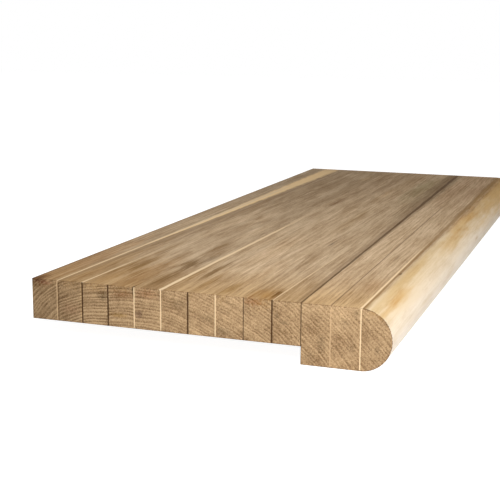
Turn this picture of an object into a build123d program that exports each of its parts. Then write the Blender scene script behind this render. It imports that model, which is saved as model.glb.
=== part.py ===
from build123d import *
import os

# Landing tread, glued up from solid oak staves.
#
# The staves lie side by side and run the whole length. The glued blank is moulded to
# one section: a rabbet along the underside leaves the body as thick as the floor that
# it meets, and the front stave is rounded to a half circle over the nosing's full depth.
# The rabbet runs just past a glue seam, so that its shoulder is one clean milled face.
#
# X runs across the tread with the nose at +X, Y along it and Z up. The origin is the
# middle of the footprint, level with the underside of the nosing. All sizes are in mm.

# Driving dimensions

TREAD_LENGTH = 457.2     # along the nose
STAVE_WIDTH = 12.9       # from seam to seam, the same for every square stave
BODY_STAVES = 10         # behind the rabbet's shoulder
NOSING_STAVES = 2        # full depth, between the shoulder and the rounded stave
BODY_DEPTH = 19.05       # over the rabbet
NOSING_DEPTH = 27.0      # top face to the underside of the nosing
RABBET_PAST_SEAM = 0.2   # the rabbet is milled this far into the first nosing stave
EASED_CORNER = 0.5       # radius sanded on the long outer corners

# Sizes and places that follow from them

NOSE_RADIUS = NOSING_DEPTH / 2
RABBET_DEPTH = NOSING_DEPTH - BODY_DEPTH
SQUARE_STAVES = BODY_STAVES + NOSING_STAVES
TREAD_WIDTH = SQUARE_STAVES * STAVE_WIDTH + NOSE_RADIUS
REAR_EDGE = -TREAD_WIDTH / 2


def seam(count):
    """Place of the seam that has this many staves behind it."""
    return REAR_EDGE + count * STAVE_WIDTH


def tread_section():
    """Moulded section of the whole tread, upright in the plane across it."""
    shoulder = seam(BODY_STAVES) + RABBET_PAST_SEAM
    nose_seam = seam(SQUARE_STAVES)
    square_outline = Polyline(
        (nose_seam, 0),
        (shoulder, 0),
        (shoulder, RABBET_DEPTH),
        (REAR_EDGE, RABBET_DEPTH),
        (REAR_EDGE, NOSING_DEPTH),
        (nose_seam, NOSING_DEPTH),
    )
    half_round = ThreePointArc(
        (nose_seam, NOSING_DEPTH),
        (nose_seam + NOSE_RADIUS, NOSE_RADIUS),
        (nose_seam, 0),
    )
    section = make_face([*square_outline.edges(), half_round.edge()])
    return ease_outer_corners(section, shoulder)


def ease_outer_corners(section, shoulder):
    """Rounds the two rear corners and the lower corner of the shoulder."""
    outer_corners = [
        (REAR_EDGE, NOSING_DEPTH),
        (REAR_EDGE, RABBET_DEPTH),
        (shoulder, 0),
    ]
    eased = [section.vertices().sort_by_distance(corner)[0] for corner in outer_corners]
    return fillet(eased, EASED_CORNER)


def stave(section, left, right):
    """Stave between two seams, cut out of the section and run the whole length."""
    strip = Pos((left + right) / 2, NOSE_RADIUS) * Rectangle(right - left, NOSING_DEPTH)
    return extrude(Plane.XZ * (section & strip), TREAD_LENGTH / 2, both=True)


def stave_names():
    """Names of all the staves, from the rear edge to the nose."""
    body = [f"body_stave_{number:02d}" for number in range(1, BODY_STAVES + 1)]
    nosing = [f"nosing_stave_{number}" for number in range(1, NOSING_STAVES + 1)]
    return [*body, *nosing, "bullnose_stave"]


def stave_edges():
    """Both sides of each stave, in the same order as the names."""
    seams = [seam(count) for count in range(SQUARE_STAVES + 1)]
    return list(zip(seams, [*seams[1:], seams[-1] + NOSE_RADIUS]))


os.makedirs("parts", exist_ok=True)
section = tread_section()
for name, (left, right) in zip(stave_names(), stave_edges()):
    export_step(stave(section, left, right), f"parts/{name}.step")
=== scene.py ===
import logging
import math
from abc import ABC, abstractmethod
from collections.abc import Callable
from dataclasses import dataclass, field, replace
from enum import Enum
from typing import ClassVar

import bpy
from mathutils import Matrix, Vector


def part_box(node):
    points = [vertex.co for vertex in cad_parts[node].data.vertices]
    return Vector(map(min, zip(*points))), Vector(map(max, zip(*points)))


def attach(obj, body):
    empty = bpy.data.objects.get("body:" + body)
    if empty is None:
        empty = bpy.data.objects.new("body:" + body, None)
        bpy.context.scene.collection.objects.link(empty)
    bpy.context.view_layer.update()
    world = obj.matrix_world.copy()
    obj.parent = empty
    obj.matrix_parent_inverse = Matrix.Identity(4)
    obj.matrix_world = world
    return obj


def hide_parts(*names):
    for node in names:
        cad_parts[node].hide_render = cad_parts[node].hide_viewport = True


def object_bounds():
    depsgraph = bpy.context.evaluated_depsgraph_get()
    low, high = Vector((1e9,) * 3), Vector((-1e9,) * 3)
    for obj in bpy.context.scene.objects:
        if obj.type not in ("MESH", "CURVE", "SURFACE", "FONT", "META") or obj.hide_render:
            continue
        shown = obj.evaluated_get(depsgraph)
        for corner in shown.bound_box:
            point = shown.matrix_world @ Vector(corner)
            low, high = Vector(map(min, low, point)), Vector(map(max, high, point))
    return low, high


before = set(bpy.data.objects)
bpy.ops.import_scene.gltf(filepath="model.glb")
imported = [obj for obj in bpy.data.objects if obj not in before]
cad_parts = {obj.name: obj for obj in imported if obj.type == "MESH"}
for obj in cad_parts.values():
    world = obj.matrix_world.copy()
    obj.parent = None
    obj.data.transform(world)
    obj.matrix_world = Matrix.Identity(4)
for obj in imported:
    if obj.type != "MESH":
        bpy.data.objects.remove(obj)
CAD_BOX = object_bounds()

MM = 0.001
BODY_STAVES = 10
NOSING_STAVES = 2
LOG = logging.getLogger("landing_tread")

# Lengths in the wood's figure are in millimetres, from the CAD box's low corner.
TOP_FACE = (CAD_BOX[1].z - CAD_BOX[0].z) / MM
PAST_FAR_END = 600.0
TOP_PATCH_DEPTH = 5.0
END_PATCH_DEPTH = 6.0

Colour = tuple[float, float, float]
Point = tuple[float, float, float]
Slope = tuple[float, float]
Names = tuple[str, ...]
Shares = dict[str, float]
Piece = bpy.types.Object
Tree = bpy.types.NodeTree
Socket = bpy.types.NodeSocket
Outputs = dict[str, Socket]
Value = Socket | float | tuple[float, ...]
Test = Callable[[list[Vector]], bool]


@dataclass(frozen=True)
class Grain:
    """Noise drawn out along the tread: its features' width and length in millimetres, and its reach."""

    wide: float
    long: float
    detail: float
    roughness: float = 0.5
    reach: float = 1.0


class Graph:
    """A shader node tree, written as sums and mixes of its values."""

    def __init__(self, tree: Tree) -> None:
        """Takes the empty tree that the nodes go into."""
        self.tree = tree

    def add(self, kind: str, *values: Value, **settings: object) -> bpy.types.Node:
        """Adds one node, and puts values into its inputs in order, past those that its settings hide.

        Args:
            kind: The node's type, without the ShaderNode that it starts with.
            values: Its first inputs.
            settings: Properties of the node and their values.

        Returns:
            The new node.
        """
        node = self.tree.nodes.new("ShaderNode" + kind)
        for name, value in settings.items():
            setattr(node, name, value)
        inputs = [socket for socket in node.inputs if socket.enabled]
        for socket, value in zip(inputs, values):
            self.put(socket, value)
        return node

    def put(self, socket: Socket, value: Value) -> None:
        """Links a value into a socket, or sets it there if it is a constant.

        Args:
            socket: The input that takes the value.
            value: Another node's output, a number, or the parts of a vector or colour.
        """
        if isinstance(value, Socket):
            self.tree.links.new(value, socket)
        elif isinstance(value, (int, float)) or len(value) == len(socket.default_value):
            socket.default_value = value
        else:
            socket.default_value = (*value, 1.0)

    def math(self, operation: str, *values: Value, clamp: bool = False) -> Socket:
        """Works out one number from others, and keeps it between 0 and 1 if it is clamped."""
        return self.add("Math", *values, operation=operation, use_clamp=clamp).outputs["Value"]

    def vector(self, operation: str, *values: Value) -> Socket:
        """Works out a vector from others, or the length of one."""
        node = self.add("VectorMath", *values, operation=operation)
        return node.outputs["Value" if operation == "LENGTH" else "Vector"]

    def split(self, vector: Value) -> tuple[Socket, ...]:
        """Gives the X, Y and Z of a vector."""
        return tuple(self.add("SeparateXYZ", vector).outputs)

    def join(self, *parts: Value) -> Socket:
        """Makes a vector of three numbers."""
        return self.add("CombineXYZ", *parts).outputs["Vector"]

    def ease(self, value: Value, start: Value, end: Value, low: Value = 0.0, high: Value = 1.0) -> Socket:
        """Turns smoothly from a low to a high level as a value goes from start to end."""
        node = self.add("MapRange", value, start, end, low, high, interpolation_type="SMOOTHSTEP")
        return node.outputs["Result"]

    def noise(self, place: Value, detail: float, roughness: float = 0.5) -> Socket:
        """Gives smooth noise with features one unit apart, from 0 to 1 about a half."""
        return self.add("TexNoise", place, 1.0, detail, roughness).outputs["Fac"]

    def grain(self, place: Value, grain: Grain) -> Socket:
        """Gives noise drawn out along the tread, from 0 to 1 about a half."""
        share = (1 / grain.wide, 1 / grain.long, 1 / grain.wide)
        return self.noise(self.vector("MULTIPLY", place, share), grain.detail, grain.roughness)

    def about_zero(self, value: Value) -> Socket:
        """Shifts a value that lies about a half to lie about zero."""
        return self.math("SUBTRACT", value, 0.5)

    def swayed(self, value: Value, place: Value, grain: Grain) -> Socket:
        """Adds drawn out noise to a value, as far as the grain reaches."""
        return self.math("MULTIPLY_ADD", self.about_zero(self.grain(place, grain)), grain.reach, value)

    def band(self, value: Value, rise: Slope, fall: Slope) -> Socket:
        """Gives 1 between two slopes and 0 outside them. Each slope goes from its foot to its top."""
        return self.math("MULTIPLY", self.ease(value, *rise), self.ease(value, *fall))

    def blend(self, share: Value, first: Value, second: Value) -> Socket:
        """Mixes two numbers, the second at a share of 1."""
        return self.math("MULTIPLY_ADD", self.math("SUBTRACT", second, first), share, first)

    def mix(self, share: Value, first: Value, second: Value, blend: str = "MIX") -> Socket:
        """Mixes two colours, the second at a share of 1."""
        node = self.add("Mix", share, first, second, data_type="RGBA", blend_type=blend)
        return next(socket for socket in node.outputs if socket.enabled)

    def effect(self, tree: Tree, **values: Value) -> Outputs:
        """Places a node group.

        Args:
            tree: The group.
            values: Its inputs, with underscores for the spaces in their names.

        Returns:
            The group's outputs by name.
        """
        node = self.add("Group", node_tree=tree)
        for name, value in values.items():
            self.put(node.inputs[name.replace("_", " ")], value)
        return {socket.name: socket for socket in node.outputs}


def new_graph(owner: bpy.types.Material | bpy.types.World) -> Graph:
    """Gives a material or a world an empty node tree.

    Args:
        owner: The material or world.

    Returns:
        The graph of its tree.
    """
    owner.use_nodes = True
    owner.node_tree.nodes.clear()
    return Graph(owner.node_tree)


def new_effect(
    name: str, vectors: Names, floats: Names, gives: Names, kind: str = "Float"
) -> tuple[Graph, Outputs, Outputs]:
    """Starts a node group with its sockets.

    Args:
        name: The group's name.
        vectors: Names of its inputs that are vectors.
        floats: Names of its inputs that are numbers.
        gives: Names of its outputs.
        kind: The kind of its outputs.

    Returns:
        The group's graph, its inputs by name, and what takes its outputs by name.
    """
    tree = bpy.data.node_groups.new(name, "ShaderNodeTree")
    kinds = (("INPUT", "Vector", vectors), ("INPUT", "Float", floats), ("OUTPUT", kind, gives))
    for way, sort, names in kinds:
        for socket in names:
            tree.interface.new_socket(socket, in_out=way, socket_type="NodeSocket" + sort)
    given = tree.nodes.new("NodeGroupInput")
    result = tree.nodes.new("NodeGroupOutput")
    return Graph(tree), {s.name: s for s in given.outputs}, {s.name: s for s in result.inputs}


class OakEffects:
    """The node groups that all the oak's materials share. Their places and sizes are in millimetres."""

    OWN_STEP = (37.0, 911.0, 53.0)
    SLOW_BEND = Grain(24.0, 95.0, 1.0, reach=4.2)
    QUICK_BEND = Grain(3.2, 34.0, 2.0, reach=0.75)
    RING_STRENGTH = Grain(5.0, 60.0, 1.0)
    UNEVEN_EVERY = 5.0
    UNEVEN_REACH = 3.4
    EARLY_RISE = (0.0, 0.08)
    EARLY_FALL = (0.6, 0.25)
    LATE_RISE = (0.25, 0.7)
    LATE_FALL = (1.0, 0.88)
    LATE_MEAN = 0.4
    WEAK_TO_STRONG = (0.3, 0.62)
    WEAKEST_RING = 0.3
    RAY_FROM_PITH = 85.0
    RAY_SIZE = (0.42, 11.0, 9.0)
    RAY_EDGE = (0.6, 0.72)
    STRAY_PORES = 0.1
    PORE_EDGE = (0.52, 0.24)
    PATCH_EDGE = (1.4, 0.15)
    THINNEST_LINE = 0.02
    LINE_WANDER = 0.9
    LINE_EDGE = (1.35, 0.6)
    STREAKS = {
        "Cloud": Grain(11.0, 46.0, 2.0, 0.55),
        "Broad": Grain(4.2, 75.0, 2.0, 0.55),
        "Fine": Grain(0.9, 28.0, 4.0, 0.55),
        "Hair": Grain(0.55, 16.0, 2.0, 0.55),
        "Speckle": Grain(0.5, 3.6, 1.0, 0.55),
    }

    def __init__(self) -> None:
        """Builds each group once."""
        self.shifted = self._shifted()
        self.rings = self._rings()
        self.pores = self._pores()
        self.streaks = self._streaks()
        self.patch = self._patch()
        self.line = self._line()

    def _shifted(self) -> Tree:
        """Makes the group that gives each stave its own stretch of the noise."""
        graph, given, result = new_effect("Own stretch", ("Place",), ("Seed",), ("Place",), "Vector")
        step = graph.vector("SCALE", self.OWN_STEP, given["Seed"])
        graph.put(result["Place"], graph.vector("ADD", given["Place"], step))
        return graph.tree

    def _own(self, graph: Graph, given: Outputs) -> Socket:
        """Gives a group's place in the stave's own stretch of the noise."""
        return graph.effect(self.shifted, Place=given["Place"], Seed=given["Seed"])["Place"]

    def _rings(self) -> Tree:
        """Makes the group that lays growth rings round a pith that runs along the stave."""
        values = ("Early", "Tone", "Shade", "Ray")
        graph, given, result = new_effect(
            "Growth rings", ("Place", "Pith", "Lean"), ("Ring Width", "Seed"), values
        )
        own = self._own(graph, given)
        along = graph.split(given["Place"])[1]
        lean = graph.vector("SCALE", given["Lean"], along)
        off_pith = graph.vector("SUBTRACT", graph.vector("SUBTRACT", given["Place"], given["Pith"]), lean)
        across, _, up = graph.split(off_pith)
        radius = graph.vector("LENGTH", graph.join(across, 0.0, up))
        bent = graph.swayed(graph.swayed(radius, own, self.SLOW_BEND), own, self.QUICK_BEND)
        step = graph.math("DIVIDE", bent, self.UNEVEN_EVERY)
        uneven = graph.noise(graph.join(step, given["Seed"], 0.0), 1.0)
        spaced = graph.math("MULTIPLY_ADD", uneven, self.UNEVEN_REACH, bent)
        count = graph.math("DIVIDE", spaced, given["Ring Width"])
        phase = graph.math("FRACT", count)
        graph.put(result["Early"], graph.band(phase, self.EARLY_RISE, self.EARLY_FALL))
        late = graph.band(phase, self.LATE_RISE, self.LATE_FALL)
        level = graph.grain(own, self.RING_STRENGTH)
        strength = graph.ease(level, *self.WEAK_TO_STRONG, low=self.WEAKEST_RING)
        tone = graph.math("MULTIPLY", graph.math("SUBTRACT", late, self.LATE_MEAN), strength)
        graph.put(result["Tone"], tone)
        number = graph.math("ADD", graph.math("FLOOR", count), given["Seed"])
        own_shade = graph.add("TexWhiteNoise", number, noise_dimensions="1D")
        graph.put(result["Shade"], graph.about_zero(own_shade.outputs["Value"]))
        turn = graph.math("MULTIPLY", graph.math("ARCTAN2", across, up), self.RAY_FROM_PITH)
        fan = graph.vector("DIVIDE", graph.join(turn, along, radius), self.RAY_SIZE)
        graph.put(result["Ray"], graph.ease(graph.noise(fan, 1.0), *self.RAY_EDGE))
        return graph.tree

    def _pores(self) -> Tree:
        """Makes the group that opens pores: dots across the grain and dashes along it."""
        graph, given, result = new_effect(
            "Open pores", ("Place",), ("Early", "Width", "Length", "Amount", "Seed"), ("Pore",)
        )
        cell = graph.join(given["Width"], given["Length"], given["Width"])
        cells = graph.add("TexVoronoi", graph.vector("DIVIDE", self._own(graph, given), cell), 1.0)
        draw = graph.split(cells.outputs["Color"])[0]
        chance = graph.math("MULTIPLY_ADD", given["Early"], given["Amount"], self.STRAY_PORES)
        present = graph.math("LESS_THAN", draw, chance)
        opening = graph.ease(cells.outputs["Distance"], *self.PORE_EDGE)
        graph.put(result["Pore"], graph.math("MULTIPLY", present, opening))
        return graph.tree

    def _streaks(self) -> Tree:
        """Makes the group of broad and fine streaks along the grain, each about zero."""
        graph, given, result = new_effect("Long streaks", ("Place",), ("Seed",), tuple(self.STREAKS))
        own = self._own(graph, given)
        for name, grain in self.STREAKS.items():
            graph.put(result[name], graph.about_zero(graph.grain(own, grain)))
        return graph.tree

    def _patch(self) -> Tree:
        """Makes the group for a patch with a wandering edge."""
        takes = ("Place", "Centre", "Reach")
        graph, given, result = new_effect("Grown patch", takes, ("Wander",), ("Mask",))
        off = graph.vector("SUBTRACT", given["Place"], given["Centre"])
        far = graph.vector("LENGTH", graph.vector("DIVIDE", off, given["Reach"]))
        edge = graph.math("ADD", given["Wander"], far)
        graph.put(result["Mask"], graph.ease(edge, *self.PATCH_EDGE))
        return graph.tree

    def _line(self) -> Tree:
        """Makes the group for a line along a seam, with a slightly uneven edge."""
        graph, given, result = new_effect(
            "Seam line", ("Place",), ("Seam", "Drift", "Half Width", "Spread", "Wander"), ("Line",)
        )
        across, along, _ = graph.split(given["Place"])
        middle = graph.math("MULTIPLY_ADD", along, given["Drift"], given["Seam"])
        wide = graph.math("MULTIPLY_ADD", along, given["Spread"], given["Half Width"])
        wide = graph.math("MAXIMUM", wide, self.THINNEST_LINE)
        uneven = graph.math("MULTIPLY_ADD", given["Wander"], self.LINE_WANDER, 1.0)
        half = graph.math("MULTIPLY", wide, uneven)
        beside = graph.math("ABSOLUTE", graph.math("SUBTRACT", across, middle))
        graph.put(result["Line"], graph.ease(graph.math("DIVIDE", beside, half), *self.LINE_EDGE))
        return graph.tree


@dataclass(frozen=True)
class Streak:
    """A line of other colour along the tread. Its lengths are in millimetres, from the near end."""

    colour: Colour
    half_width: float
    strength: float = 0.8
    fades_at: float = 460.0
    shift: float = 0.0
    drift: float = 0.0
    spread: float = 0.0
    fade: float = 45.0


class Line(Enum):
    """What a glue seam looks like where it meets an end or the underside."""

    CREAM = Streak((0.80, 0.60, 0.37), 0.26, 0.88, PAST_FAR_END)
    PALE = Streak((0.60, 0.41, 0.23), 0.28, 0.6, PAST_FAR_END)
    DARK = Streak((0.05, 0.022, 0.009), 0.38, 0.92, PAST_FAR_END)
    HAIR = Streak((0.07, 0.04, 0.022), 0.22, 0.8, PAST_FAR_END)


@dataclass(frozen=True)
class Seam:
    """A glue seam between two staves, with the line that it draws on the ends and those on the top."""

    end: Line
    top: tuple[Streak, ...] = ()

    def is_open(self) -> bool:
        """Says whether the staves' edges beside the seam are broken."""
        return self.end in (Line.DARK, Line.HAIR)


@dataclass(frozen=True)
class Patch:
    """A patch of other tint. Its centre is counted from the rear edge, the near end and the underside."""

    centre: Point
    reach: Point
    tint: Colour
    ragged: float = 1.0


@dataclass(frozen=True)
class Figure:
    """How a stave was sawn from its tree, and how its wood is coloured. The rings' slope is in degrees."""

    ring_slope: float
    tone: float = 1.0
    # The ends' tone is partly the wood's own and partly painted shade that darkens the ends towards the
    # rear edge.
    end_tone_and_shade: float = 1.0
    pith_depth: float = 85.0
    ring_width: float = 1.5
    ring_contrast: float = 0.27
    lean: float = 0.004
    patches: tuple[Patch, ...] = ()
    sapwood_from: float | None = None


@dataclass(frozen=True)
class Wood:
    """What the parts of a stave's material share: its graph, the place and the grain there."""

    graph: Graph
    place: Socket
    grain: Outputs


@dataclass(frozen=True)
class Oak:
    """Planed, unfinished oak. One is made for each stave, with its box and seams in millimetres."""

    effects: OakEffects
    figure: Figure
    low: Vector
    high: Vector
    seed: float
    seams: tuple[tuple[float, Seam], ...]
    rear_edge: bool = False
    round_nose: bool = False
    light: Colour = (0.69, 0.515, 0.335)
    dark: Colour = (0.30, 0.182, 0.084)
    # Painted shade: a tint that darkens the faces along the grain towards the near end.
    near_end_painted_shade: Colour = (0.85, 0.77, 0.62)
    end_light: Colour = (0.55, 0.375, 0.205)
    end_dark: Colour = (0.18, 0.102, 0.048)
    pore: Colour = (0.12, 0.07, 0.036)
    sap: Colour = (0.75, 0.65, 0.53)
    sap_dark: Colour = (0.54, 0.41, 0.25)
    # Painted light: the pale colour that the lower round of the nose is mixed towards.
    sap_painted_light: Colour = (0.95, 0.88, 0.81)
    sap_upper: Colour = (0.86, 0.77, 0.60)
    # A dark tint laid along the sawn edges of the ends and the rear edge.
    edge_dark: Colour = (0.12, 0.064, 0.03)
    side_level: float = 0.52
    end_level: float = 0.5
    sap_level: float = 0.82
    side_pores: float = 0.22
    end_pores: float = 0.42
    pore_length: float = 11.0
    facing_end: Slope = (0.5, 0.75)
    near_face: float = 0.45
    under_seam: Slope = (0.6, 0.3)
    # How far from the near end the painted shade reaches, in millimetres.
    painted_shade_fade: Slope = (68.0, 0.0)
    seed_turn: float = 137.5
    sap_drift: float = 2.6
    sap_drifts: Slope = (60.0, 300.0)
    sap_wave: float = 2.4
    sap_edge: Slope = (-0.9, 1.0)
    sap_cloud: float = 9.0
    sap_warms: Slope = (14.0, 27.0)
    sap_painted_light_fade: Slope = (15.0, 3.0)
    painted_light_share: float = 0.7
    rough_arris: float = 1.6
    edge_dark_depth: Slope = (0.5, 0.05)
    side_edge_dark: float = 0.5
    nose_edge_dark: float = 0.75
    specular: float = 0.05
    roughness: float = 0.8
    pore_roughness: float = 0.1
    fibre_height: float = 0.35
    bump: float = 0.4
    relief: float = 0.15 * MM
    side_shares: ClassVar[Shares] = {
        "Tone": 0.2, "Shade": 0.08, "Cloud": 0.75, "Broad": 0.65, "Fine": 0.95, "Hair": 0.75,
        "Speckle": 0.5, "Ray": -0.05,
    }
    end_shares: ClassVar[Shares] = {
        "Shade": 0.16, "Cloud": 0.8, "Broad": 0.6, "Fine": 0.7, "Speckle": 1.1, "Ray": 0.1,
    }
    sap_shares: ClassVar[Shares] = {"Broad": 1.0, "Cloud": 1.3, "Fine": 1.0, "Hair": 0.3, "Speckle": 0.35}
    side_wander: ClassVar[Grain] = Grain(1.15, 22.0, 4.0, 0.66, reach=2.6)
    nose_wander: ClassVar[Grain] = Grain(2.6, 34.0, 4.0, 0.66, reach=1.7)
    seam_wander: ClassVar[Grain] = Grain(2.5, 12.0, 2.0, 0.6)

    def material(self, name: str) -> bpy.types.Material:
        """Makes the stave's material.

        Args:
            name: The material's name.

        Returns:
            The material.
        """
        material = bpy.data.materials.new(name)
        graph = new_graph(material)
        where = graph.add("TexCoord")
        wood = self._wood(graph, where.outputs["Object"])
        along_normal = graph.split(graph.vector("ABSOLUTE", where.outputs["Normal"]))[1]
        on_end = graph.ease(along_normal, *self.facing_end)
        side_pore = self._pore(wood, self.seed, width=0.5, amount=0.6)
        end_pore = self._pore(wood, self.seed + 0.5, width=0.6, amount=0.8)
        colour = graph.mix(on_end, self._side_colour(wood, side_pore), self._end_colour(wood, end_pore))
        for finish in (self._patched, self._seamed, self._edges_darkened):
            colour = finish(wood, colour)
        shader = graph.add("BsdfPrincipled")
        graph.put(shader.inputs["Base Color"], colour)
        shader.inputs["Specular IOR Level"].default_value = self.specular
        pore = graph.blend(on_end, side_pore, end_pore)
        rough = graph.math("MULTIPLY_ADD", pore, self.pore_roughness, self.roughness)
        graph.put(shader.inputs["Roughness"], rough)
        bump = graph.add("Bump")
        bump.inputs["Strength"].default_value = self.bump
        bump.inputs["Distance"].default_value = self.relief
        hollow = graph.math("MULTIPLY", pore, -1.0)
        height = graph.math("MULTIPLY_ADD", wood.grain["Fine"], self.fibre_height, hollow)
        graph.put(bump.inputs["Height"], height)
        graph.put(shader.inputs["Normal"], bump.outputs["Normal"])
        graph.add("OutputMaterial", shader.outputs["BSDF"])
        return material

    def _wood(self, graph: Graph, where: Value) -> Wood:
        """Lays the rings and the streaks.

        Args:
            graph: The material's graph.
            where: The place in the frame.

        Returns:
            What the parts of the material share.
        """
        place = graph.vector("SCALE", graph.vector("SUBTRACT", where, tuple(CAD_BOX[0])), 1 / MM)
        rings = graph.effect(self.effects.rings, Place=place, Pith=self._pith(), Lean=self._lean(),
                             Ring_Width=self.figure.ring_width, Seed=self.seed)
        streaks = graph.effect(self.effects.streaks, Place=place, Seed=self.seed)
        return Wood(graph, place, rings | streaks)

    def _pith(self) -> Point:
        """Gives the place of the pith, from the slope that the rings have at the stave's middle."""
        slope = math.radians(self.figure.ring_slope)
        middle = (self.low + self.high) / 2
        depth = self.figure.pith_depth
        return (middle.x + depth * math.sin(slope), 0.0, middle.z - depth * math.cos(slope))

    def _lean(self) -> Point:
        """Gives how far the pith wanders across and down for each millimetre along the stave."""
        turn = math.radians(self.seed * self.seed_turn)
        return (self.figure.lean * math.cos(turn), 0.0, self.figure.lean * math.sin(turn))

    def _pore(self, wood: Wood, seed: float, width: float, amount: float) -> Socket:
        """Gives where pores are open."""
        return wood.graph.effect(self.effects.pores, Place=wood.place, Early=wood.grain["Early"],
                                 Width=width, Length=self.pore_length, Amount=amount, Seed=seed)["Pore"]

    def _level(self, wood: Wood, start: Value, shares: Shares) -> Socket:
        """Adds shares of the grain to a first value, and keeps the sum between 0 and 1.

        Args:
            wood: The stave's wood.
            start: The first value.
            shares: How much of each value of the grain is added.

        Returns:
            The sum.
        """
        for name, share in shares.items():
            start = wood.graph.math("MULTIPLY_ADD", wood.grain[name], share, start)
        return wood.graph.math("ADD", start, 0.0, clamp=True)

    def _side_colour(self, wood: Wood, pore: Value) -> Socket:
        """Colours the faces along the grain, with painted shade that darkens them towards the near end.

        Args:
            wood: The stave's wood.
            pore: Where pores are open.

        Returns:
            The colour.
        """
        graph = wood.graph
        colour = graph.mix(self._level(wood, self.side_level, self.side_shares), self.dark, self.light)
        colour = graph.mix(graph.math("MULTIPLY", pore, self.side_pores), colour, self.pore)
        colour = graph.mix(1.0, colour, (self.figure.tone,) * 3, "MULTIPLY")
        # Painted shade: the sides darken over the first 68 mm from the near end.
        near_end_painted_shade = graph.ease(graph.split(wood.place)[1], *self.painted_shade_fade)
        colour = graph.mix(near_end_painted_shade, colour, self.near_end_painted_shade, "MULTIPLY")
        return self._sapwood(wood, colour) if self.round_nose else colour

    def _sapwood(self, wood: Wood, colour: Value) -> Socket:
        """Lays pale sapwood over the round of the nose, up to a wavy border beside the seam, and paints
        light onto its lower round, which grows paler towards the underside.

        Args:
            wood: The stave's wood.
            colour: The heartwood's colour.

        Returns:
            The colour with the sapwood.
        """
        graph = wood.graph
        across, along, up = graph.split(wood.place)
        pale = graph.mix(self._level(wood, self.sap_level, self.sap_shares), self.sap_dark, self.sap)
        cloudy = graph.math("MULTIPLY_ADD", wood.grain["Broad"], self.sap_cloud, up)
        pale = graph.mix(graph.ease(cloudy, *self.sap_warms), pale, self.sap_upper, "MULTIPLY")
        # Painted light: the lower round of the nose is paled towards the underside.
        painted_light = graph.ease(cloudy, *self.sap_painted_light_fade, high=self.painted_light_share)
        pale = graph.mix(painted_light, pale, self.sap_painted_light)
        first = self.figure.sapwood_from
        border = graph.ease(along, *self.sap_drifts, low=first, high=first + self.sap_drift)
        inside = graph.math("SUBTRACT", across, border)
        wavy = graph.math("MULTIPLY_ADD", wood.grain["Cloud"], self.sap_wave, inside)
        return graph.mix(graph.ease(wavy, *self.sap_edge), colour, pale)

    def _end_colour(self, wood: Wood, pore: Value) -> Socket:
        """Colours the end grain.

        Args:
            wood: The stave's wood.
            pore: Where pores are open.

        Returns:
            The colour.
        """
        graph = wood.graph
        shares = {"Tone": self.figure.ring_contrast} | self.end_shares
        colour = graph.mix(self._level(wood, self.end_level, shares), self.end_dark, self.end_light)
        colour = graph.mix(graph.math("MULTIPLY", pore, self.end_pores), colour, self.pore)
        return graph.mix(1.0, colour, (self.figure.end_tone_and_shade,) * 3, "MULTIPLY")

    def _patched(self, wood: Wood, colour: Value) -> Socket:
        """Lays the stave's patches over its colour.

        Args:
            wood: The stave's wood.
            colour: The colour so far.

        Returns:
            The colour with the patches.
        """
        graph = wood.graph
        wander = graph.swayed(0.0, wood.place, self.nose_wander if self.round_nose else self.side_wander)
        for patch in self.figure.patches:
            own = graph.math("MULTIPLY", wander, patch.ragged)
            mask = graph.effect(self.effects.patch, Place=wood.place, Centre=patch.centre,
                                Reach=patch.reach, Wander=own)["Mask"]
            colour = graph.mix(mask, colour, patch.tint, "MULTIPLY")
        return colour

    def _seamed(self, wood: Wood, colour: Value) -> Socket:
        """Draws the lines of the seams at the stave's sides.

        Args:
            wood: The stave's wood.
            colour: The colour so far.

        Returns:
            The colour with the lines.
        """
        graph = wood.graph
        _, along, up = graph.split(wood.place)
        top, thin = self.high.z, self.near_face
        on_end = graph.ease(self._inside(graph, along, self.low.y, self.high.y), thin, thin / 2)
        on_top = graph.ease(up, top - thin, top - thin / 2)
        below = graph.ease(up, *(self.low.z + height for height in self.under_seam))
        wander = graph.about_zero(graph.grain(wood.place, self.seam_wander))
        for where, seam in self.seams:
            drawn = [(streak, on_top) for streak in seam.top]
            drawn += [(seam.end.value, on_end), (Line.HAIR.value, below)]
            for streak, faces in drawn:
                line = graph.effect(self.effects.line, Place=wood.place, Seam=where + streak.shift,
                                    Drift=streak.drift, Half_Width=streak.half_width, Spread=streak.spread,
                                    Wander=wander)["Line"]
                fade = graph.ease(along, streak.fades_at + streak.fade, streak.fades_at - streak.fade,
                                  high=streak.strength)
                mask = graph.math("MULTIPLY", graph.math("MULTIPLY", line, fade), faces)
                colour = graph.mix(mask, colour, streak.colour)
        return colour

    def _edges_darkened(self, wood: Wood, colour: Value) -> Socket:
        """Darkens the sawn edges of the ends and the rear edge.

        Args:
            wood: The stave's wood.
            colour: The colour so far.

        Returns:
            The colour with its dark edges.
        """
        graph = wood.graph
        across, along, up = graph.split(wood.place)
        from_end = self._inside(graph, along, self.low.y, self.high.y)
        if self.round_nose:
            radius = (self.high.z - self.low.z) / 2
            off_axis = graph.vector("SUBTRACT", graph.join(across, 0.0, up), (self.low.x, 0.0, radius))
            from_skin = graph.math("SUBTRACT", radius, graph.vector("LENGTH", off_axis))
        else:
            from_skin = self._inside(graph, up, self.low.z, self.high.z)
        depth = graph.math("MAXIMUM", from_end, from_skin)
        if self.rear_edge:
            rear = graph.math("SUBTRACT", across, self.low.x)
            for other in (from_skin, from_end):
                depth = graph.math("MINIMUM", depth, graph.math("MAXIMUM", rear, other))
        ragged = graph.math("MULTIPLY_ADD", wood.grain["Speckle"], self.rough_arris, depth)
        share = self.nose_edge_dark if self.round_nose else self.side_edge_dark
        return graph.mix(graph.ease(ragged, *self.edge_dark_depth, high=share), colour, self.edge_dark)

    def _inside(self, graph: Graph, value: Value, low: float, high: float) -> Socket:
        """Gives how far a value is inside two limits, from the nearer one."""
        from_low = graph.math("SUBTRACT", value, low)
        return graph.math("MINIMUM", from_low, graph.math("SUBTRACT", high, value))


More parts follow.
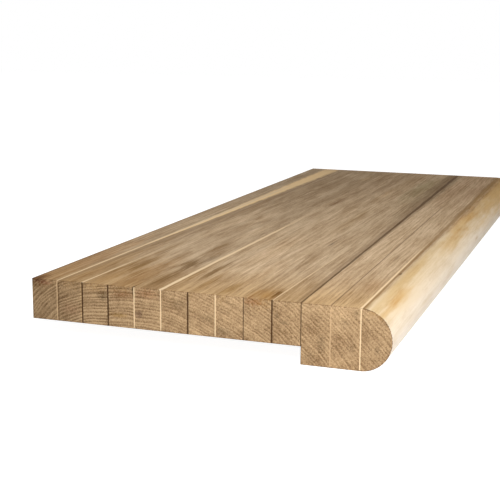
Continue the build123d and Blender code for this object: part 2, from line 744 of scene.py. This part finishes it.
def pick(piece: Piece, kind: str, wanted: Test) -> None:
    """Selects vertices or edges by a test, and leaves the piece in edit mode.

    Args:
        piece: The piece, in edit mode.
        kind: VERT or EDGE.
        wanted: Takes the points of an element and says whether it is picked.
    """
    bpy.ops.mesh.select_mode(type=kind)
    bpy.ops.mesh.select_all(action="DESELECT")
    bpy.ops.object.mode_set(mode="OBJECT")
    mesh = piece.data
    for element in mesh.vertices if kind == "VERT" else mesh.edges:
        points = [element.co] if kind == "VERT" else [mesh.vertices[i].co for i in element.vertices]
        if wanted(points):
            element.select = True
    bpy.ops.object.mode_set(mode="EDIT")


@dataclass
class Stave(ABC):
    """A stave over its CAD solid: a grid on its near end, drawn out along the tread."""

    node: str
    oak: Oak
    slot: str
    near: float = 0.05 * MM
    arris: float = 0.22 * MM
    smooth_under: float = math.radians(35)
    lengths: tuple[float, ...] = (0.6 * MM, 2.5 * MM, 12.0 * MM)

    def __post_init__(self) -> None:
        """Reads the corners of the node's box."""
        self.low, self.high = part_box(self.node)

    @abstractmethod
    def _add_grid(self) -> None:
        """Adds the grid that the outline is made of."""

    @abstractmethod
    def _is_free(self, points: list[Vector]) -> bool:
        """Says whether the points lie on a side that isn't glued."""

    def _shape_grid(self, piece: Piece) -> None:
        """Leaves the grid as it is, where the outline is a rectangle."""

    def build(self) -> Piece:
        """Models the stave, gives it its oak, hangs it under the root body and hides its CAD part.

        Returns:
            The finished piece.
        """
        bpy.ops.object.select_all(action="DESELECT")
        self._add_grid()
        piece = bpy.context.active_object
        piece.name = self.node.replace("_stave", "_oak_stave")
        bpy.ops.object.transform_apply(location=True, rotation=True, scale=True)
        bpy.ops.object.mode_set(mode="EDIT")
        self._shape_grid(piece)
        bpy.ops.mesh.select_all(action="SELECT")
        for step in self._steps():
            bpy.ops.mesh.extrude_region_move(TRANSFORM_OT_translate={"value": (0, step, 0)})
        bpy.ops.mesh.select_all(action="SELECT")
        bpy.ops.mesh.normals_make_consistent(inside=False)
        self._ease_edges(piece)
        bpy.ops.object.mode_set(mode="OBJECT")
        bpy.ops.object.shade_smooth_by_angle(angle=self.smooth_under)
        piece.data.materials.append(self.oak.material(piece.name.replace("_", " ")))
        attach(piece, "root")
        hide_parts(self.node)
        return piece

    def _steps(self) -> list[float]:
        """Splits the length into short steps at the ends and one long run between them."""
        run = self.high.y - self.low.y - 2 * sum(self.lengths)
        return [*self.lengths, run, *reversed(self.lengths)]

    def _at(self, points: list[Vector], axis: str, place: float) -> bool:
        """Says whether all the points lie at one place on an axis."""
        return all(abs(getattr(point, axis) - place) < self.near for point in points)

    def _is_broken(self, points: list[Vector]) -> bool:
        """Says whether an edge lies on an end and on a side that isn't glued."""
        on_end = self._at(points, "y", self.low.y) or self._at(points, "y", self.high.y)
        return on_end and self._is_free(points)

    def _ease_edges(self, piece: Piece) -> None:
        """Breaks the edges of both ends, apart from those at glued seams."""
        pick(piece, "EDGE", self._is_broken)
        bpy.ops.mesh.bevel(offset=self.arris, segments=2, affect="EDGES")


@dataclass
class SquareStave(Stave):
    """A stave with a rectangular section. Each eased corner is its side in x and in z, 0 low or 1 high."""

    open_rear: bool = False
    open_front: bool = False
    eased_corners: tuple[tuple[int, int], ...] = ()
    cell: float = 0.5 * MM
    eased: float = 0.5 * MM

    def _add_grid(self) -> None:
        """Adds a grid over the whole near end."""
        size = self.high - self.low
        bpy.ops.mesh.primitive_grid_add(
            x_subdivisions=round(size.x / self.cell),
            y_subdivisions=round(size.z / self.cell),
            size=1.0,
            location=((self.low.x + self.high.x) / 2, self.low.y, (self.low.z + self.high.z) / 2),
            rotation=(math.pi / 2, 0, 0),
        )
        bpy.context.active_object.scale = (size.x, size.z, 1.0)

    def _is_free(self, points: list[Vector]) -> bool:
        """Says whether the points lie on the top, the underside or an open side."""
        sides = [("z", self.low.z), ("z", self.high.z)]
        sides += [("x", self.low.x)] * self.open_rear + [("x", self.high.x)] * self.open_front
        return any(self._at(points, axis, place) for axis, place in sides)

    def _is_corner(self, points: list[Vector]) -> bool:
        """Says whether the points lie on a long corner that is eased."""
        box = (self.low, self.high)
        corners = [(box[i].x, box[j].z) for i, j in self.eased_corners]
        return any(self._at(points, "x", x) and self._at(points, "z", z) for x, z in corners)

    def _ease_edges(self, piece: Piece) -> None:
        """Rounds the long corners on the outside of the tread, and then breaks the ends' edges."""
        if self.eased_corners:
            pick(piece, "EDGE", self._is_corner)
            bpy.ops.mesh.bevel(offset=self.eased, segments=4, affect="EDGES")
        super()._ease_edges(piece)


@dataclass
class RoundedStave(Stave):
    """The front stave, a half round over the full depth of the nosing."""

    rim_steps: int = 72
    rings: int = 24
    merge: float = 0.01 * MM

    def __post_init__(self) -> None:
        """Works out the nose's radius and the middle of its near end."""
        super().__post_init__()
        self.radius = (self.high.z - self.low.z) / 2
        self.middle = Vector((self.low.x, self.low.y, self.low.z + self.radius))

    def _add_grid(self) -> None:
        """Adds a strip of cells from the middle of the nose to its top."""
        bpy.ops.mesh.primitive_grid_add(
            x_subdivisions=1,
            y_subdivisions=self.rings,
            size=self.radius,
            location=self.middle + Vector((0, 0, self.radius / 2)),
            rotation=(math.pi / 2, 0, 0),
        )

    def _shape_grid(self, piece: Piece) -> None:
        """Spins the rear side of the strip to a half disc.

        Args:
            piece: The stave, in edit mode.
        """
        pick(piece, "VERT", lambda points: points[0].x > self.low.x)
        bpy.ops.mesh.delete(type="VERT")
        bpy.ops.mesh.select_all(action="SELECT")
        bpy.ops.transform.translate(value=(self.radius / 2, 0, 0))
        bpy.ops.mesh.spin(steps=self.rim_steps, angle=math.pi, center=self.middle, axis=(0, -1, 0))
        bpy.ops.mesh.select_all(action="SELECT")
        bpy.ops.mesh.remove_doubles(threshold=self.merge)
        bpy.ops.mesh.select_all(action="SELECT")
        deeper = (self.high.x - self.low.x) / self.radius
        bpy.ops.transform.resize(value=(deeper, 1, 1), center_override=self.middle)

    def _is_free(self, points: list[Vector]) -> bool:
        """Says whether the points lie on the rim."""
        offs = [point - self.middle for point in points]
        return all(math.hypot(off.x, off.z) > self.radius - self.near for off in offs)


def box_on_tread(node: str) -> tuple[Vector, Vector]:
    """Gives a node's box in millimetres from the low corner of the CAD box."""
    low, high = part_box(node)
    return (low - CAD_BOX[0]) / MM, (high - CAD_BOX[0]) / MM


@dataclass
class Tread:
    """The whole tread: the figures of its staves and the seams between them, from the rear edge on."""

    effects: OakEffects
    figures: tuple[Figure, ...]
    seams: tuple[Seam, ...]
    pieces: list[Piece] = field(default_factory=list)

    def nodes(self) -> list[str]:
        """Names the CAD nodes of the staves in order."""
        body = [f"body_stave_{number:02d}" for number in range(1, BODY_STAVES + 1)]
        nosing = [f"nosing_stave_{number}" for number in range(1, NOSING_STAVES + 1)]
        return [*body, *nosing, "bullnose_stave"]

    def build(self) -> None:
        """Builds every stave."""
        for index, (node, figure) in enumerate(zip(self.nodes(), self.figures)):
            piece = self._stave(index, node, figure).build()
            self.pieces.append(piece)
            LOG.info("%s built with %d faces", piece.name, len(piece.data.polygons))

    def _stave(self, index: int, node: str, figure: Figure) -> Stave:
        """Gathers what one stave is built from.

        Args:
            index: Its place, counted from 0 at the rear edge.
            node: Its CAD node.
            figure: Its figure.

        Returns:
            The stave, ready to build.
        """
        low, high = box_on_tread(node)
        rear = self.seams[index - 1] if index else None
        front = self.seams[index] if index < len(self.seams) else None
        seams = tuple((where, seam) for where, seam in ((low.x, rear), (high.x, front)) if seam)
        oak = Oak(self.effects, figure, low, high, index + 1.0, seams, not rear, not front)
        if not front:
            return RoundedStave(node, oak, "bullnose_oak")
        slot = "body_oak" if index < BODY_STAVES else "nosing_oak"
        corners = {0: ((0, 0), (0, 1)), BODY_STAVES: ((0, 0),)}.get(index, ())
        open_rear = not rear or rear.is_open()
        return SquareStave(node, oak, slot, open_rear=open_rear, open_front=front.is_open(),
                           eased_corners=corners)


@dataclass(frozen=True)
class Lamp:
    """A square soft lamp, with its place and side in metres and its power in watts."""

    name: str
    place: Point
    power: float
    side: float = 0.4


@dataclass(frozen=True)
class Studio:
    """A white floor, soft lamps and the camera that took the photograph. Its angles are in degrees."""

    lamps: tuple[Lamp, ...] = (
        Lamp("Key", (0.30, -0.61, 0.50), 6.5),
        Lamp("Side", (0.70, -0.35, 0.12), 1.75),
        Lamp("Back", (-0.45, 0.75, 0.13), 1.0),
    )
    lamps_face: Point = (0.02, -0.1, 0.0)
    focal_pixels: float = 1063.3
    photo_pixels: float = 500
    sensor: float = 36.0
    camera_place: Point = (0.16927, -0.64336, 0.13521)
    yaw: float = 19.562
    pitch: float = 11.227
    roll: float = 0.464
    white: Colour = (1.0, 1.0, 1.0)
    ambient: float = 0.135
    floor_size: float = 6.0
    floor_colour: Colour = (0.8, 0.8, 0.8)
    floor_glow: float = 0.96
    floor_shadow: Colour = (0.4, 0.4, 0.4)

    def build(self) -> None:
        """Makes the world, the floor, the lamps and the camera."""
        self._world()
        self._floor()
        for lamp in self.lamps:
            self._hang(lamp)
        self._camera()

    def _shown_apart(self, graph: Graph, lit: Socket, shown: Socket, output: str) -> None:
        """Shows one shader to the camera, and lets another one light the tread.

        Args:
            graph: The graph of a world or a material.
            lit: The shader that lights the tread.
            shown: The shader for the camera's own rays and for what mirrors or glass show.
            output: The type of the graph's output node.
        """
        path = graph.add("LightPath").outputs
        seen = graph.math("MAXIMUM", path["Is Camera Ray"], path["Is Glossy Ray"])
        seen = graph.math("MAXIMUM", seen, path["Is Transmission Ray"])
        mixed = graph.add("MixShader", seen, lit, shown)
        graph.add(output, mixed.outputs[0])

    def _world(self) -> None:
        """Makes a world that lights softly and shows white."""
        world = bpy.data.worlds.new("Studio")
        bpy.context.scene.world = world
        graph = new_graph(world)
        lighting = graph.add("Background", self.white, self.ambient)
        shown = graph.add("Background", self.white, 1.0)
        self._shown_apart(graph, lighting.outputs[0], shown.outputs[0], "OutputWorld")

    def _floor(self) -> None:
        """Makes the white floor that the nosing stands on. It keeps the tread's shadow."""
        bpy.ops.object.select_all(action="DESELECT")
        bpy.ops.mesh.primitive_plane_add(size=self.floor_size, location=(0, 0, CAD_BOX[0].z))
        floor = bpy.context.active_object
        floor.name = "floor"
        material = bpy.data.materials.new("White floor")
        graph = new_graph(material)
        matt = graph.add("BsdfDiffuse", self.floor_colour)
        shadow = graph.add("BsdfDiffuse", self.floor_shadow)
        glow = graph.add("Emission", self.white, self.floor_glow)
        shown = graph.add("AddShader", glow.outputs[0], shadow.outputs[0])
        self._shown_apart(graph, matt.outputs[0], shown.outputs[0], "OutputMaterial")
        floor.data.materials.append(material)

    def _hang(self, lamp: Lamp) -> None:
        """Hangs a lamp so that it faces the tread.

        Args:
            lamp: The lamp.
        """
        bpy.ops.object.light_add(type="AREA", location=lamp.place)
        light = bpy.context.active_object
        light.name = lamp.name
        light.data.size = lamp.side
        light.data.energy = lamp.power
        aim = Vector(self.lamps_face) - Vector(lamp.place)
        light.rotation_euler = aim.to_track_quat("-Z", "Y").to_euler()

    def _camera(self) -> None:
        """Places the camera as it stood for the photograph."""
        data = bpy.data.cameras.new("Camera")
        data.lens = self.focal_pixels / self.photo_pixels * self.sensor
        data.sensor_width = self.sensor
        data.clip_start = 0.01
        camera = bpy.data.objects.new("Camera", data)
        bpy.context.scene.collection.objects.link(camera)
        turn = Matrix.Rotation(math.radians(self.yaw), 3, "Z")
        tip = Matrix.Rotation(math.radians(90 - self.pitch), 3, "X")
        roll = Matrix.Rotation(math.radians(self.roll), 3, "Z")
        camera.matrix_world = Matrix.Translation(self.camera_place) @ (turn @ tip @ roll).to_4x4()
        bpy.context.scene.camera = camera


def as_colour(tint: tuple[float, ...]) -> Colour:
    """Gives a tint as a colour, where it may be one number for all three parts."""
    return tint if len(tint) == 3 else tint * 3


def on_top(across: float, along: float, wide: float, long: float, *tint: float) -> Patch:
    """Makes a patch on the top: its middle, half its width and length, and its tint as 1 or 3 numbers."""
    return Patch((across, along, TOP_FACE), (wide, long, TOP_PATCH_DEPTH), as_colour(tint))


def at_end(across: float, up: float, wide: float, high: float, *tint: float) -> Patch:
    """Makes a patch on the near end: its middle, half its width and height, and its tint."""
    return Patch((across, 0.0, up), (wide, END_PATCH_DEPTH, high), as_colour(tint))


def on_nose(angle: float, along: float, wide: float, long: float, *tint: float) -> Patch:
    """Makes a patch on the round of the nose.

    Args:
        angle: Degrees up from the level of the nose's axis.
        along: Its middle, from the near end.
        wide: Half its width.
        long: Half its length.
        tint: What the colour is multiplied by, as 1 or 3 numbers.

    Returns:
        The patch.
    """
    low, high = box_on_tread("bullnose_stave")
    radius = (high.z - low.z) / 2
    across = low.x + radius * math.cos(math.radians(angle))
    up = radius + radius * math.sin(math.radians(angle))
    return Patch((across, along, up), (wide, long, wide), as_colour(tint))


def tread_figures() -> tuple[Figure, ...]:
    """Gives the figure of each stave, from the rear edge to the nose.

    Returns:
        One figure for each stave, with its ring slope, its tone and the tone of its ends first; the ends'
        tone falls towards the rear edge partly as painted shade.
    """
    # Painted shade: the on_top patches with warm tints of 0.86 to 0.9 within about 100 mm of the near end,
    # on the first four staves, darken the near rear corner of the top.
    return (
        # Painted sheen: the on_top patches of even tint 1.1 to 1.17 on the first eight staves, from 190 mm
        # along on the rear stave to 50 mm on the eighth, paint a highlight band across the top.
        Figure(40, 0.9, 0.74, pith_depth=60, ring_contrast=0.45, patches=(
            on_top(6, 50, 8, 62, 0.88, 0.77, 0.64), on_top(7, 190, 6, 90, 1.15),
            on_top(0.4, 220, 1.1, 330, 0.7, 0.64, 0.56), on_top(3, 3, 5, 7, 0.62, 0.55, 0.5),
            at_end(6, 25.5, 4, 1.2, 0.95, 0.8, 0.85), at_end(2, 26.6, 4, 1.3, 0.6, 0.52, 0.5))),
        Figure(24, 0.92, 0.76, pith_depth=70, ring_contrast=0.5, patches=(
            on_top(24.5, 240, 3.4, 90, 0.74, 0.66, 0.56), on_top(18, 180, 5, 90, 1.12),
            on_top(19, 48, 8, 60, 0.86, 0.78, 0.64), at_end(20, 14, 5, 3, 0.88, 0.82, 0.82),
            at_end(13.55, 17, 0.45, 14, 0.55, 0.5, 0.46), at_end(25.2, 17, 0.4, 14, 1.3, 1.28, 1.2))),
        # Painted shade: the on_top patches of greyish tint that reach 340 to 400 mm along, on the third to
        # twelfth staves, darken the far end.
        Figure(9, 0.95, 0.84, ring_contrast=0.5, patches=(
            on_top(34.5, 46, 2.6, 17, 0.7, 0.64, 0.52), on_top(28.2, 35, 1.6, 18, 0.72, 0.66, 0.55),
            on_top(30, 90, 3.0, 22, 0.8, 0.75, 0.66), on_top(33, 180, 5.5, 60, 1.17),
            on_top(32, 30, 8, 48, 0.88, 0.81, 0.68), on_top(32, 340, 9, 120, 0.78, 0.74, 0.68),
            at_end(36.5, 21.5, 3.4, 1.8, 0.66))),
        Figure(1, 0.95, 0.9, ring_contrast=0.45, patches=(
            on_top(40, 28, 3.4, 12, 0.74, 0.68, 0.56), on_top(50.4, 42, 1.5, 11, 0.68, 0.62, 0.52),
            on_top(44, 66, 2.4, 18, 0.78, 0.72, 0.62), on_top(45, 26, 8, 40, 0.9, 0.82, 0.7),
            on_top(45, 350, 8, 120, 0.78, 0.74, 0.68), on_top(44, 190, 4.5, 40, 1.12),
            replace(on_top(51.4, 0.3, 0.9, 3.0, 0.2), ragged=0.3), at_end(46, 23, 6, 1.8, 0.84, 0.74, 0.7),
            at_end(44, 13.5, 5, 1.3, 0.82, 0.76, 0.6))),
        Figure(-3, 0.92, 0.94, ring_contrast=0.4, patches=(
            on_top(55, 55, 5.4, 11, 0.5, 0.43, 0.32), on_top(57, 20, 3.6, 20, 0.64, 0.57, 0.45),
            on_top(53, 96, 2.2, 18, 0.76, 0.7, 0.6), on_top(61, 70, 2.0, 12, 0.76),
            on_top(56, 150, 4, 34, 1.16), on_top(60, 350, 7, 100, 0.78, 0.74, 0.68),
            on_top(59, 405, 3, 15, 1.25), at_end(58, 24.5, 6, 2.6, 0.82, 0.72, 0.68),
            at_end(54, 14.8, 1.9, 1.9, 0.62, 0.58, 0.64))),
        Figure(-12, 1.0, 0.98, patches=(
            on_top(73, 46, 2.5, 27, 0.52, 0.45, 0.34), on_top(70, 278, 3.0, 22, 0.6, 0.52, 0.44),
            on_top(67, 40, 3, 28, 0.8, 0.74, 0.62), on_top(70, 130, 4, 40, 1.1),
            on_top(71, 385, 7, 90, 0.78, 0.74, 0.7), at_end(73, 21, 3.6, 2.2, 0.8))),
        Figure(-22, 1.03, 1.0, patches=(
            on_top(84, 100, 7, 44, 1.14), on_top(79, 22, 2.6, 22, 0.78, 0.72, 0.6),
            on_top(86, 250, 3, 40, 0.82, 0.78, 0.72), on_top(84, 385, 7, 110, 0.74, 0.7, 0.66),
            at_end(87.5, 16, 4, 3, 0.84))),
        Figure(-27, 1.03, 1.0, patches=(
            on_top(96, 50, 4.5, 30, 1.12), on_top(93, 12, 3, 14, 0.76, 0.7, 0.56),
            on_top(92, 328, 3.2, 24, 1.22), on_top(98, 210, 2.4, 50, 0.82, 0.78, 0.7),
            on_top(97, 400, 7, 90, 0.8, 0.76, 0.7), at_end(94, 11, 4.5, 2.3, 0.74))),
        Figure(-31, 0.97, 0.97, patches=(
            on_top(111, 8, 7.5, 11, 0.8, 0.68, 0.48), on_top(115.2, 13, 2.2, 8, 0.44, 0.36, 0.25),
            on_top(108, 80, 1.8, 30, 0.74, 0.69, 0.62), on_top(106.5, 131, 1.2, 9, 0.6),
            on_top(111, 365, 9, 70, 0.72, 0.74, 0.66), at_end(107, 25.5, 5, 1.7, 0.82, 0.7, 0.64))),
        Figure(-38, 0.94, 0.98, patches=(
            on_top(121, 370, 8, 140, 0.6, 0.58, 0.52), at_end(118.3, 20.3, 1.3, 1.7, 0.66),
            at_end(121.5, 17.5, 2.2, 1.1, 0.74))),
        Figure(-43, 1.06, 0.98, patches=(
            on_top(136, 390, 8, 120, 0.8, 0.74, 0.7), at_end(138, 10, 2, 4, 0.74),
            at_end(133, 4, 2.2, 2.2, 0.84))),
        Figure(-46, 1.04, 1.0, patches=(
            on_top(150, 42, 3.8, 15, 0.9, 0.84, 0.78), on_top(149, 390, 8, 120, 0.8, 0.74, 0.7),
            on_top(147.5, 106, 0.9, 8, 0.78), at_end(148, 20, 2.2, 2.2, 0.84),
            at_end(151, 9, 2, 3.5, 0.84), at_end(153, 24, 1.6, 2.2, 0.8))),
        Figure(-46, 0.92, 0.95, sapwood_from=157.0, patches=(
            on_nose(52, 38, 2.8, 22, 0.86, 0.73, 0.53), on_nose(50, 8, 1.4, 30, 0.88, 0.78, 0.62),
            on_nose(68, 60, 2.6, 90, 0.9, 0.82, 0.66), on_nose(66, 236, 4.6, 60, 0.93, 0.82, 0.63),
            on_nose(50, 180, 3.6, 40, 0.94, 0.86, 0.72), on_nose(50, 400, 14, 150, 0.82, 0.68, 0.46),
            on_nose(5, 247, 1.2, 7, 0.8, 0.72, 0.62),
            replace(on_nose(84, 71, 0.75, 3.0, 0.03, 0.02, 0.015), ragged=0.1),
            at_end(162, 9.5, 1.4, 1.7, 0.78))),
    )


def tread_seams() -> tuple[Seam, ...]:
    """Gives the seams between the staves, from the rear edge to the nose.

    Returns:
        One seam for each pair of neighbours.
    """
    cream = Line.CREAM.value.colour
    golden = (0.99, 0.69, 0.36)
    brown = (0.19, 0.112, 0.055)
    return (
        Seam(Line.PALE, (Streak((0.24, 0.15, 0.075), 0.8, 0.45, drift=0.024, spread=0.0135, shift=2.2),
                         Streak(golden, -1.3, 0.9, drift=0.009, spread=0.0168, shift=0.8),
                         Streak(cream, 0.42, 0.8, 330, shift=0.6, drift=0.006, spread=0.004))),
        Seam(Line.DARK, (Streak(cream, 0.6, 0.7, 60, drift=0.02),)),
        Seam(Line.DARK),
        Seam(Line.CREAM),
        Seam(Line.CREAM, (Streak(cream, 0.95, 0.95, 190, drift=0.012),)),
        Seam(Line.DARK),
        Seam(Line.CREAM),
        Seam(Line.HAIR),
        Seam(Line.DARK, (Streak(cream, 0.36, 0.5, 120, drift=0.015, shift=0.4),)),
        Seam(Line.HAIR, (Streak(brown, 1.3, 0.42, shift=-1.2, drift=-0.012, spread=0.008),
                         Streak((0.085, 0.042, 0.017), 0.46, 0.8, drift=-0.012, spread=0.0018))),
        Seam(Line.PALE, (Streak(brown, 0.35, 0.75, 290, drift=-0.006),)),
        Seam(Line.CREAM, (Streak(cream, 0.55, 0.95, 130),
                          Streak((0.27, 0.155, 0.062), 0.5, 0.7, shift=1.0, spread=0.003))),
    )


def main() -> None:
    """Builds the tread and the studio round it."""
    logging.basicConfig(level=logging.INFO, format="%(message)s")
    bpy.context.scene.view_settings.view_transform = "Standard"
    Studio().build()
    tread = Tread(OakEffects(), tread_figures(), tread_seams())
    tread.build()
    LOG.info("tread built of %d staves", len(tread.pieces))


if __name__ == "__main__":
    main()
